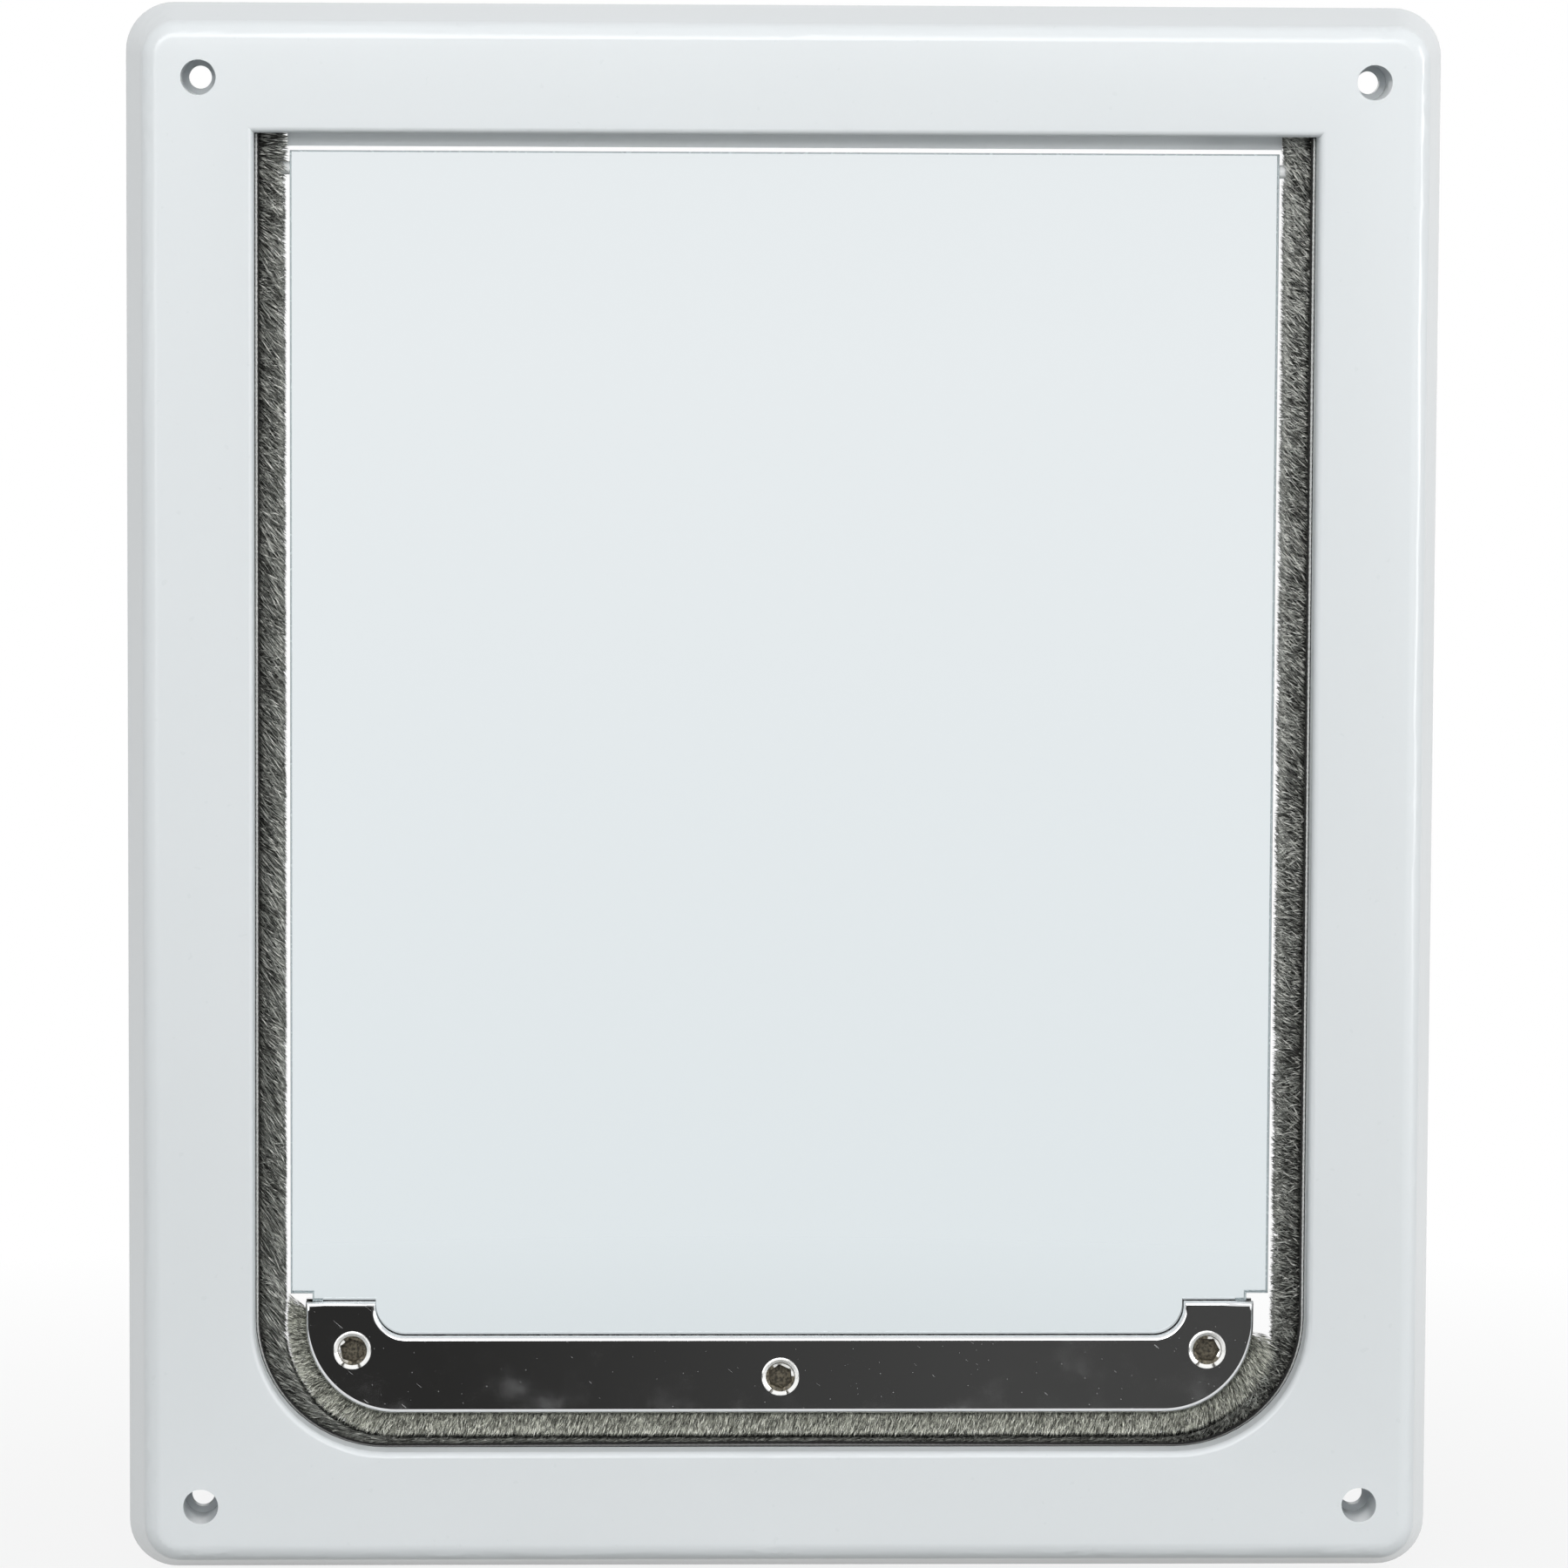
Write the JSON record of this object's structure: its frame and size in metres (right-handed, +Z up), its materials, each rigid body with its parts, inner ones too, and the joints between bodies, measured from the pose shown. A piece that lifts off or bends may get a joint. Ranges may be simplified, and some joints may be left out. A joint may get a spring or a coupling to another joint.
{
  "type": "pet door",
  "caption": "White framed pet door with a clear flap that swings both ways on stub axles, dark pile along the tunnel, and a brush held by chromed weight plates at the flap's foot.",
  "frame": {"origin": "centre of the four screw holes, on the plane where the rim meets the door", "axes": "+X to the viewer's right, +Y from the viewer's side through the door, +Z up"},
  "size_m": [0.3, 0.038, 0.36],
  "materials": {
    "white_plastic": "glossy",
    "socket_plastic": "satin",
    "clear_panel": "clear",
    "chrome": "polished",
    "rivet_steel": "bright",
    "dark_pile": "pile",
    "grey_brush": "bristle"
  },
  "bodies": {
    "door_frame": {"frame": "white_plastic", "hinge_socket_left": "socket_plastic", "hinge_socket_right": "socket_plastic", "frame_pile_seal": "dark_pile"},
    "flap": {"flap_panel": "clear_panel", "front_weight_plate": "chrome", "rear_weight_plate": "chrome", "flap_brush": "grey_brush", "rivet_left": "rivet_steel", "rivet_middle": "rivet_steel", "rivet_right": "rivet_steel"}
  },
  "joints": [
    {"name": "flap_swing", "type": "hinge", "parent": "door_frame", "child": "flap", "pos_m": [0, -0.004, 0.1426], "axis": [1, 0, 0], "range_deg": [-90, 90]}
  ]
}
